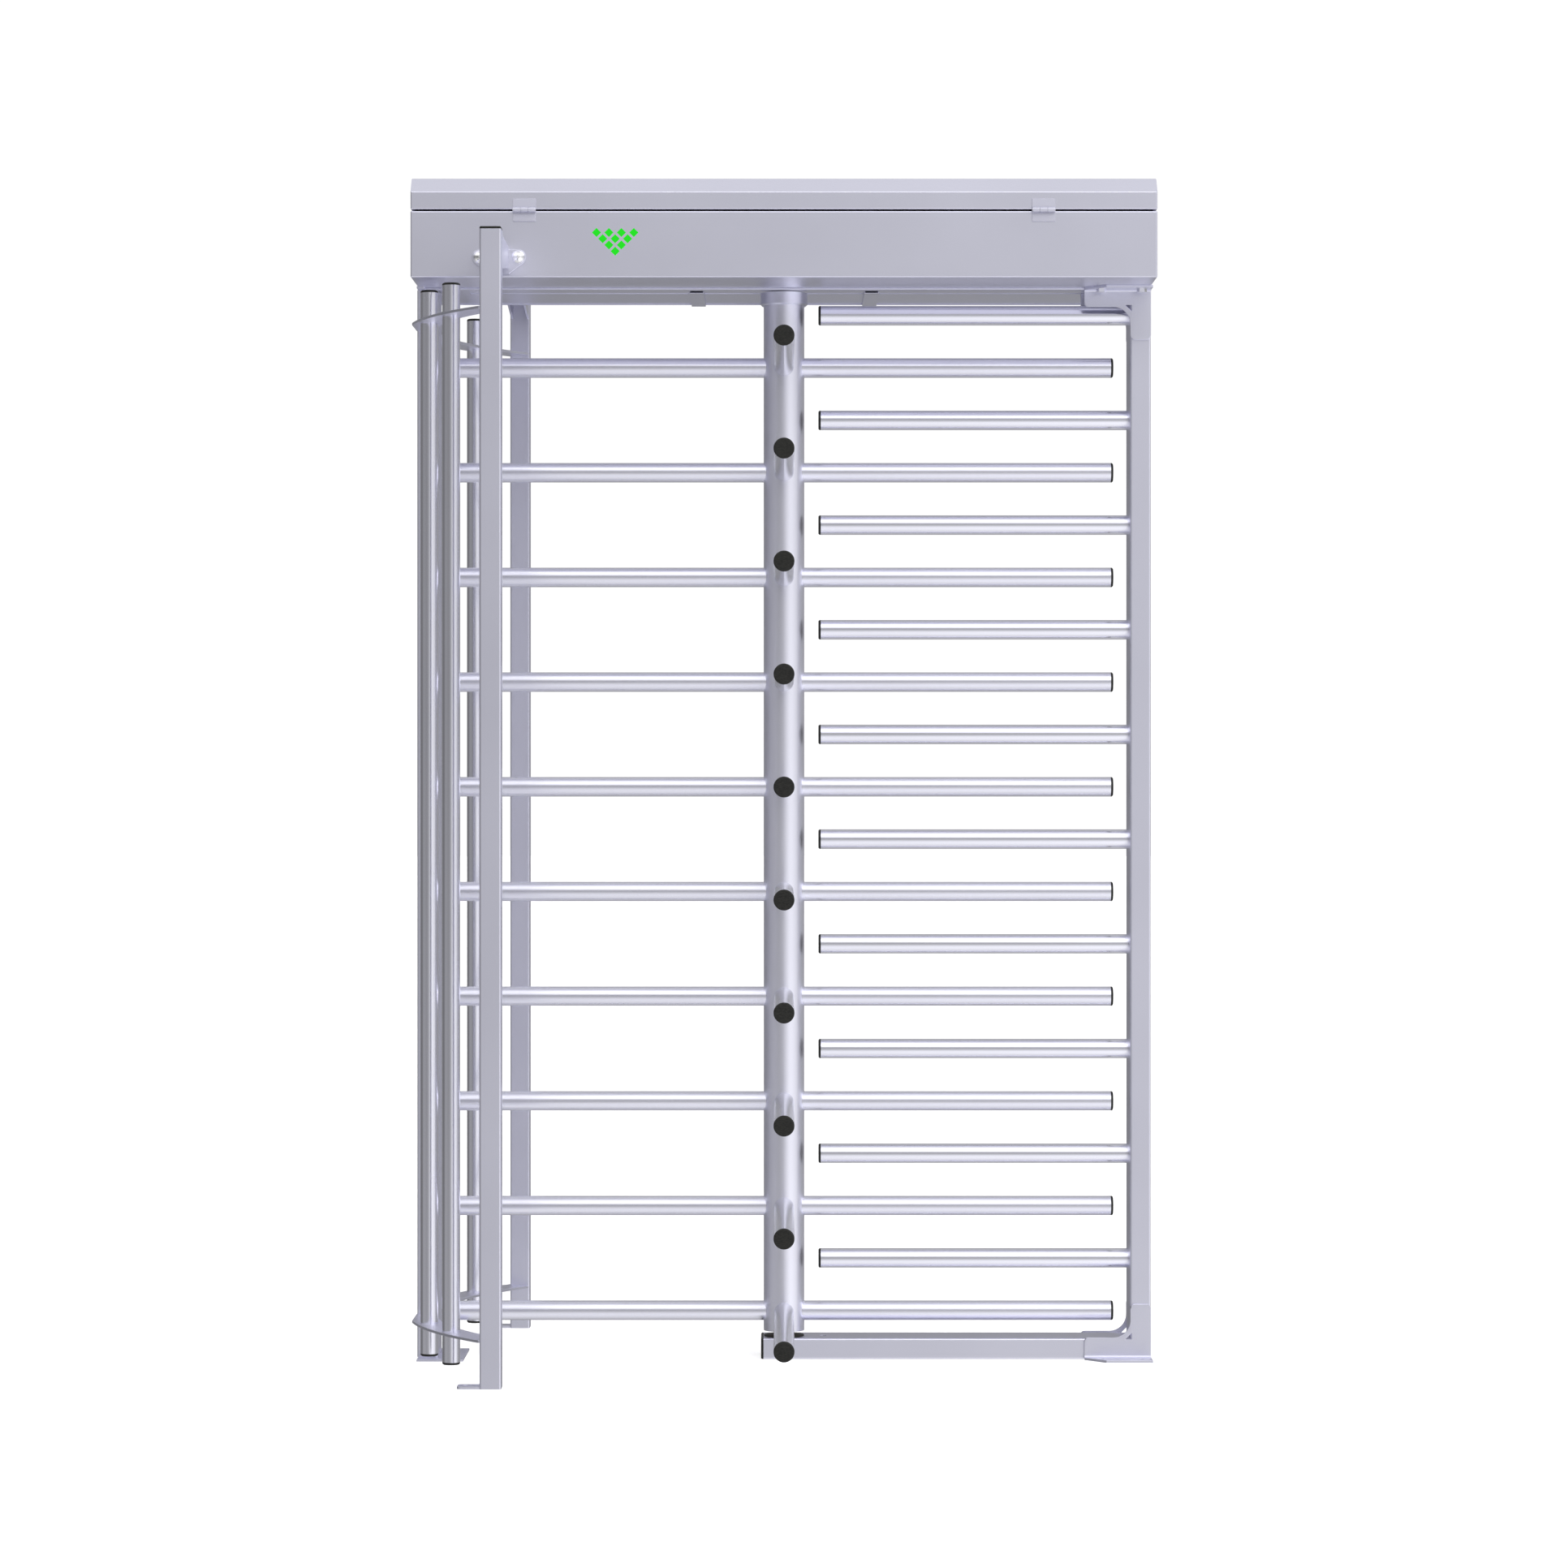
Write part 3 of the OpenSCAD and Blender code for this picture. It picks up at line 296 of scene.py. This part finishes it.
frame_coat = silver_coat("satin_frame_coat", (0.77, 0.77, 0.89), 0.38, 0.05, 420.0, 0.00003)
for node in ("right_post", "left_post", "bottom_beam", "top_bar", "foot_plates",
             "bottom_gussets", "top_gussets", "cage_posts", "upper_arc_plates",
             "lower_arc_plates", "post_brackets", "support_channels"):
    dress(node, frame_coat)
    ease_edges(node, fold_round)
for node in ("header_tray", "header_lid", "collar"):
    dress(node, frame_coat)

# ---------- Lid hinges ----------
# Two rolled steel hinges are welded to case and lid and coated with them. Their coat is rougher
# than the case's, and its darker colour is painted shade that dulls the highlight on the barrels.
# The darker colour here is painted shade; the higher roughness is the duller finish.
shaded_hinge_coat = silver_coat("dull_hinge_coat_painted_shade", (0.66, 0.66, 0.76), 0.60, 0.05, 420.0, 0.00003)
for node in ("lower_hinge_leaves", "upper_hinge_leaves"):
    dress(node, shaded_hinge_coat)
    ease_edges(node, rolled_round)

# ---------- Comb, cage rails and rotor arms: glossy tube ----------
# Bought round tube takes a glossier coat than the folded work. The column is the same
# tube in a larger size, and each arm's root is cut to sit on it before it is welded.
tube_coat = silver_coat("glossy_tube_coat", (0.86, 0.86, 0.955), 0.21, 0.03, 120.0, 0.000004)
column_coat = silver_coat("satin_column_coat", (0.84, 0.84, 0.945), 0.34, 0.03, 120.0, 0.000004,
                          metallic=0.85)
wing_coat = silver_coat("satin_wing_coat", (0.84, 0.84, 0.945), 0.25, 0.03, 120.0, 0.000004,
                        metallic=0.85)
for node in ("comb_arms", "cage_tubes"):
    dress(node, tube_coat)
for node in ("wing_front", "wing_rear", "wing_left", "wing_right"):
    dress(node, wing_coat)
dress("column", column_coat)

# ---------- Black end caps ----------
# Every open tube is closed by a push-in cap of black polyethylene. Its face is moulded
# with a fine wrinkle that runs across, like leather.
wrinkles_per_metre = (260.0, 260.0, 1100.0)
cap_black, cap_nodes, cap_link, cap_shader = plain_material("black_cap_wrinkle")
cap_shader.inputs["Roughness"].default_value = 0.46
cap_shader.inputs["Specular IOR Level"].default_value = 0.35
stretch = cap_nodes.new("ShaderNodeMapping")
stretch.inputs["Scale"].default_value = wrinkles_per_metre
cap_link(cap_nodes.new("ShaderNodeTexCoord").outputs["Object"], stretch.inputs["Vector"])
wrinkle = cap_nodes.new("ShaderNodeTexNoise")
wrinkle.inputs["Scale"].default_value = 1.0
wrinkle.inputs["Detail"].default_value = 2.0
cap_link(stretch.outputs[0], wrinkle.inputs["Vector"])
cap_tone = cap_nodes.new("ShaderNodeValToRGB")
cap_tone.color_ramp.elements[0].position = 0.35
cap_tone.color_ramp.elements[0].color = (0.005, 0.005, 0.0045, 1.0)
cap_tone.color_ramp.elements[1].position = 0.68
cap_tone.color_ramp.elements[1].color = (0.021, 0.021, 0.018, 1.0)
cap_link(wrinkle.outputs["Fac"], cap_tone.inputs[0])
cap_link(cap_tone.outputs[0], cap_shader.inputs["Base Color"])
cap_bump = cap_nodes.new("ShaderNodeBump")
cap_bump.inputs["Strength"].default_value = 0.5
cap_bump.inputs["Distance"].default_value = 0.0002
cap_link(wrinkle.outputs["Fac"], cap_bump.inputs["Height"])
cap_link(cap_bump.outputs[0], cap_shader.inputs["Normal"])
for node in ("beam_end_cap", "comb_caps", "cage_caps", "arm_caps", "cable_gland",
             "thrust_washer"):
    dress(node, cap_black)

# ---------- Green direction lamp ----------
# Ten light emitting lenses, pushed through a board behind the case front, show green
# when the way in is free.
lamp_green = silver_coat("lit_green_lens", (0.0, 0.05, 0.0), 0.35, 0.02, 200.0, 0.00001,
                         metallic=0.0)
lens_shader = lamp_green.node_tree.nodes["Principled BSDF"]
lens_shader.inputs["Emission Color"].default_value = (0.0, 0.70, 0.0, 1.0)
lens_shader.inputs["Emission Strength"].default_value = 1.0
dress("indicator_lenses", lamp_green)

# ---------- Bolts, pins and springs: zinc ----------
# Bought fasteners and turned pins are bright with zinc plate.
zinc_plate = silver_coat("zinc_plate", (0.88, 0.88, 0.90), 0.1, 0.03, 500.0, 0.00001)
for node in ("bracket_bolts", "gusset_bolts", "hinge_pins", "plate_pillars", "pivot_pins",
             "lock_hook", "lock_barrel", "lock_cam", "index_spring", "pivot_pin"):
    dress(node, zinc_plate)

# ---------- Mechanism: machined steel ----------
# The milled parts of the mechanism are left bare and oiled.
machined = silver_coat("bare_machined_steel", (0.55, 0.55, 0.56), 0.28, 0.06, 800.0, 0.00002)
for node in ("mechanism_plate", "index_lever", "entry_pawl", "exit_pawl", "entry_plunger",
             "exit_plunger"):
    dress(node, machined)

# ---------- Turned wheels on the shaft ----------
# Lock wheel, index cam and sensor disc are turned in a lathe, so fine rings run round the
# shaft on their faces. The shaft and the bearing with its housing are turned too.
turned, turned_nodes, turned_link, turned_shader = plain_material("turned_steel_rings")
turned_shader.inputs["Metallic"].default_value = 1.0
rings = turned_nodes.new("ShaderNodeTexWave")
rings.wave_type = "RINGS"
rings.rings_direction = "Z"
rings.inputs["Scale"].default_value = 260.0
rings.inputs["Distortion"].default_value = 1.0
turned_link(turned_nodes.new("ShaderNodeTexCoord").outputs["Object"], rings.inputs["Vector"])
ring_tone = turned_nodes.new("ShaderNodeValToRGB")
ring_tone.color_ramp.elements[0].color = (0.42, 0.42, 0.43, 1.0)
ring_tone.color_ramp.elements[1].color = (0.62, 0.62, 0.63, 1.0)
turned_link(rings.outputs["Fac"], ring_tone.inputs[0])
turned_link(ring_tone.outputs[0], turned_shader.inputs["Base Color"])
ring_rough = turned_nodes.new("ShaderNodeMath")
ring_rough.operation = "MULTIPLY_ADD"
ring_rough.inputs[1].default_value = 0.12
ring_rough.inputs[2].default_value = 0.22
turned_link(rings.outputs["Fac"], ring_rough.inputs[0])
turned_link(ring_rough.outputs[0], turned_shader.inputs["Roughness"])
ring_bump = turned_nodes.new("ShaderNodeBump")
ring_bump.inputs["Strength"].default_value = 0.2
ring_bump.inputs["Distance"].default_value = 0.00005
turned_link(rings.outputs["Fac"], ring_bump.inputs["Height"])
turned_link(ring_bump.outputs[0], turned_shader.inputs["Normal"])
for node in ("lock_wheel", "index_cam", "sensor_disc", "top_shaft", "bearing_housing",
             "upper_bearing"):
    dress(node, turned)

# ---------- Lower bush, index roller and rotation sensor ----------
# The bush in the column's foot is turned from bronze. The index roller is black nylon,
# and the fork of the rotation sensor is moulded in black plastic.
bush_bronze = silver_coat("oiled_bush_bronze", (0.60, 0.40, 0.17), 0.30, 0.1, 700.0, 0.00002)
dress("lower_bush", bush_bronze)
roller_nylon = silver_coat("black_roller_nylon", (0.025, 0.025, 0.025), 0.5, 0.1, 900.0,
                           0.00005, metallic=0.0)
dress("index_roller", roller_nylon)
black_plastic_and_vent_shade = silver_coat("black_sensor_plastic_and_vent_shade", (0.018, 0.018, 0.02), 0.38, 0.1, 1200.0,
                             0.00005, metallic=0.0)
dress("rotation_sensor", black_plastic_and_vent_shade)

# ---------- Locking magnets ----------
# Each locking magnet is a bobbin wound with lacquered copper wire, held in a yoke of
# folded zinc-plated strip. Its plunger slides through the bobbin.


def block(shape, low, high, ease=0.0004):
    middle = [(a + b) / 2.0 for a, b in zip(low, high)]
    size = [b - a for a, b in zip(low, high)]
    place = Matrix.Translation(middle) @ Matrix.Diagonal((*size, 1.0))
    made = bmesh.ops.create_cube(shape, size=1.0, matrix=place)
    edges = list({edge for corner in made["verts"] for edge in corner.link_edges})
    bmesh.ops.bevel(shape, geom=edges, offset=ease, offset_type="OFFSET", segments=2,
                    profile=0.5, affect="EDGES", material=-1)


def turned_ring(shape, centre, axis, outline, steps=48):
    """Spins a closed outline of (distance from the axis, place along it) points."""
    across = Vector(upright) if axis[0] else Vector(sideways)
    corners = [shape.verts.new(Vector(centre) + across * r + Vector(axis) * z)
               for r, z in outline]
    ring = [shape.edges.new((corners[k], corners[(k + 1) % len(corners)]))
            for k in range(len(corners))]
    bmesh.ops.spin(shape, geom=corners + ring, cent=centre, axis=axis, dvec=(0.0, 0.0, 0.0),
                   angle=2.0 * math.pi, steps=steps, use_merge=True, use_duplicate=False)


def finished(shape, name, material, body):
    bmesh.ops.remove_doubles(shape, verts=shape.verts, dist=0.0000005)
    bmesh.ops.recalc_face_normals(shape, faces=shape.faces)
    mesh = bpy.data.meshes.new(name)
    shape.to_mesh(mesh)
    shape.free()
    mesh.polygons.foreach_set("use_smooth", [True] * len(mesh.polygons))
    mesh.set_sharp_from_angle(angle=math.radians(40.0))
    mesh.materials.append(material)
    piece = bpy.data.objects.new(name, mesh)
    scene.collection.objects.link(piece)
    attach(piece, body)
    return piece


coil_low, coil_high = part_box("solenoid_coils")
coil_mid_y, coil_mid_z = [(coil_low[k] + coil_high[k]) / 2.0 for k in (1, 2)]
yoke_half = 0.025
yoke_inside = 0.022
yoke_radius = 0.0195
flange_radius = 0.0188
wound_half = 0.0203
wound_radius = 0.0172
wire_bulge = 0.0004
winding_steps = 80
steps_per_turn = 4.0
bore = 0.0061
strip = 0.003
yokes, bobbins, windings = bmesh.new(), bmesh.new(), bmesh.new()
for side in (-1.0, 1.0):
    middle_x = side * (coil_high[0] - yoke_half)
    middle = (middle_x, coil_mid_y, coil_mid_z)
    for low_z, high_z in ((coil_low[2], coil_low[2] + strip), (coil_high[2] - strip, coil_high[2])):
        block(yokes, (middle_x - yoke_half, coil_low[1], low_z),
              (middle_x + yoke_half, coil_high[1], high_z))
    for end in (-1.0, 1.0):
        outer, inner, wound = end * yoke_half, end * yoke_inside, end * wound_half
        turned_ring(yokes, middle, sideways,
                    [(bore, outer), (yoke_radius, outer), (yoke_radius, inner), (bore, inner)])
        turned_ring(bobbins, middle, sideways,
                    [(bore, inner), (flange_radius, inner), (flange_radius, wound), (bore, wound)])
    wire = [(wound_radius + wire_bulge * math.sin(2.0 * math.pi * k / steps_per_turn),
             -wound_half + 2.0 * wound_half * k / winding_steps)
            for k in range(winding_steps + 1)]
    turned_ring(windings, middle, sideways, [(bore, -wound_half)] + wire + [(bore, wound_half)])
copper = silver_coat("lacquered_copper_wire", (0.72, 0.27, 0.10), 0.24, 0.1, 1500.0, 0.00003)
yoke_zinc = silver_coat("zinc_yoke_strip", (0.74, 0.74, 0.77), 0.26, 0.1, 700.0, 0.00002)
bobbin_nylon = silver_coat("white_bobbin_nylon", (0.62, 0.60, 0.54), 0.42, 0.1, 600.0, 0.00005,
                           metallic=0.0)
yoke_piece = finished(yokes, "magnet_yokes", yoke_zinc, "frame")
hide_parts("solenoid_coils")
finished(bobbins, "magnet_bobbins", bobbin_nylon, "frame")
finished(windings, "magnet_windings", copper, "frame")

# ---------- Control board ----------
# The control board stands on four pillars. It is green lacquered laminate with relays, a
# processor, a row of screw terminals and some capacitors soldered on.
board_low, board_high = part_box("control_board")
board_left, board_near, board_base = board_low
pillar_height = 0.012
laminate_thickness = 0.0016
relay_pitch = 0.022
driver_pitch = 0.009
terminal_pitch = 0.0075
can_pitch = 0.0115
deck = board_base + pillar_height
face = deck + laminate_thickness
laminate, relays, terminals, cans, pillars = [bmesh.new() for _ in range(5)]


def soldered(shape, near, far, height, ease):
    """Stands a block on the board, between two places measured from the board's corner."""
    block(shape, (board_left + near[0], board_near + near[1], face),
          (board_left + far[0], board_near + far[1], face + height), ease)


block(laminate, (board_left, board_near, deck), (board_high[0], board_high[1], face), 0.0002)
for step in range(3):
    left = 0.014 + relay_pitch * step
    soldered(relays, (left, 0.012), (left + 0.019, 0.027), 0.0135, 0.0006)
soldered(relays, (0.086, 0.036), (0.108, 0.058), 0.002, 0.0003)
for step in range(4):
    left = 0.118 + driver_pitch * step
    soldered(relays, (left, 0.040), (left + 0.006, 0.050), 0.0018, 0.0002)
for step in range(16):
    left = 0.020 + terminal_pitch * step
    soldered(terminals, (left, 0.094), (left + 0.0073, 0.106), 0.0115, 0.0005)
    turned_ring(pillars, (board_left + left + 0.00365, board_near + 0.100, face), upright,
                [(0.0004, 0.0114), (0.0026, 0.0114), (0.0026, 0.0121), (0.0004, 0.0121)], 16)
for step in range(3):
    turned_ring(cans, (board_left + 0.128, board_near + 0.062 + can_pitch * step, face), upright,
                [(0.0002, 0.0), (0.005, 0.0), (0.005, 0.0125), (0.0044, 0.0131),
                 (0.0002, 0.0131)], 32)
for x in (0.008, 0.152):
    for y in (0.008, 0.112):
        turned_ring(pillars, (board_left + x, board_near + y, board_base), upright,
                    [(0.0004, 0.0), (0.003, 0.0), (0.003, pillar_height),
                     (0.0004, pillar_height)], 6)
        turned_ring(pillars, (board_left + x, board_near + y, face), upright,
                    [(0.0004, 0.0), (0.0028, 0.0), (0.0028, 0.0014), (0.0018, 0.002),
                     (0.0004, 0.002)], 24)
board_green, board_nodes, board_link, board_shader = plain_material("green_board_tracks")
board_shader.inputs["Roughness"].default_value = 0.32
tracks = board_nodes.new("ShaderNodeTexBrick")
tracks.inputs["Color1"].default_value = (0.010, 0.115, 0.035, 1.0)
tracks.inputs["Color2"].default_value = (0.008, 0.095, 0.030, 1.0)
tracks.inputs["Mortar"].default_value = (0.035, 0.22, 0.075, 1.0)
tracks.inputs["Scale"].default_value = 90.0
tracks.inputs["Mortar Size"].default_value = 0.06
board_link(board_nodes.new("ShaderNodeTexCoord").outputs["Object"], tracks.inputs["Vector"])
board_link(tracks.outputs["Color"], board_shader.inputs["Base Color"])
laminate_piece = finished(laminate, "control_board_laminate", board_green, "frame")
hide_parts("control_board")
finished(relays, "control_board_relays", black_plastic_and_vent_shade, "frame")
terminal_green = silver_coat("green_terminal_plastic", (0.02, 0.20, 0.07), 0.42, 0.1, 800.0,
                             0.00004, metallic=0.0)
finished(terminals, "control_board_terminals", terminal_green, "frame")
finished(cans, "control_board_capacitors", yoke_zinc, "frame")
finished(pillars, "control_board_screws", zinc_plate, "frame")
dress("indicator_board", board_green)

# ---------- Power supply ----------
# The power supply is bought in a folded case of bare aluminium with rows of vent slots in
# its top. The slots are drawn as thin black blocks on the top: painted shade for their dark inside.
supply_low, supply_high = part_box("power_supply")
slot_rows, slots_per_row = 4, 12
slot_pitch, row_pitch = 0.0082, 0.024
slot_width, slot_length, slot_depth = 0.0035, 0.018, 0.0005
top_gap = 0.0002
case, vent_shade_blocks = bmesh.new(), bmesh.new()
block(case, supply_low, (supply_high[0], supply_high[1], supply_high[2] - top_gap), 0.0012)
# Each vent slot is a thin black block, painted shade standing for the dark inside of the slot.
for row in range(slot_rows):
    for step in range(slots_per_row):
        left = supply_low[0] + 0.012 + slot_pitch * step
        near = supply_low[1] + 0.014 + row_pitch * row
        block(vent_shade_blocks, (left, near, supply_high[2] - slot_depth),
              (left + slot_width, near + slot_length, supply_high[2]), 0.0001)
bare_aluminium = silver_coat("bare_aluminium_case", (0.74, 0.74, 0.75), 0.36, 0.1, 500.0,
                             0.00003)
# The black plastic on the vent blocks is painted shade, not a plastic part.
finished(vent_shade_blocks, "power_supply_vent_shade", black_plastic_and_vent_shade, "frame")
case_piece = finished(case, "power_supply_case", bare_aluminium, "frame")
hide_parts("power_supply")
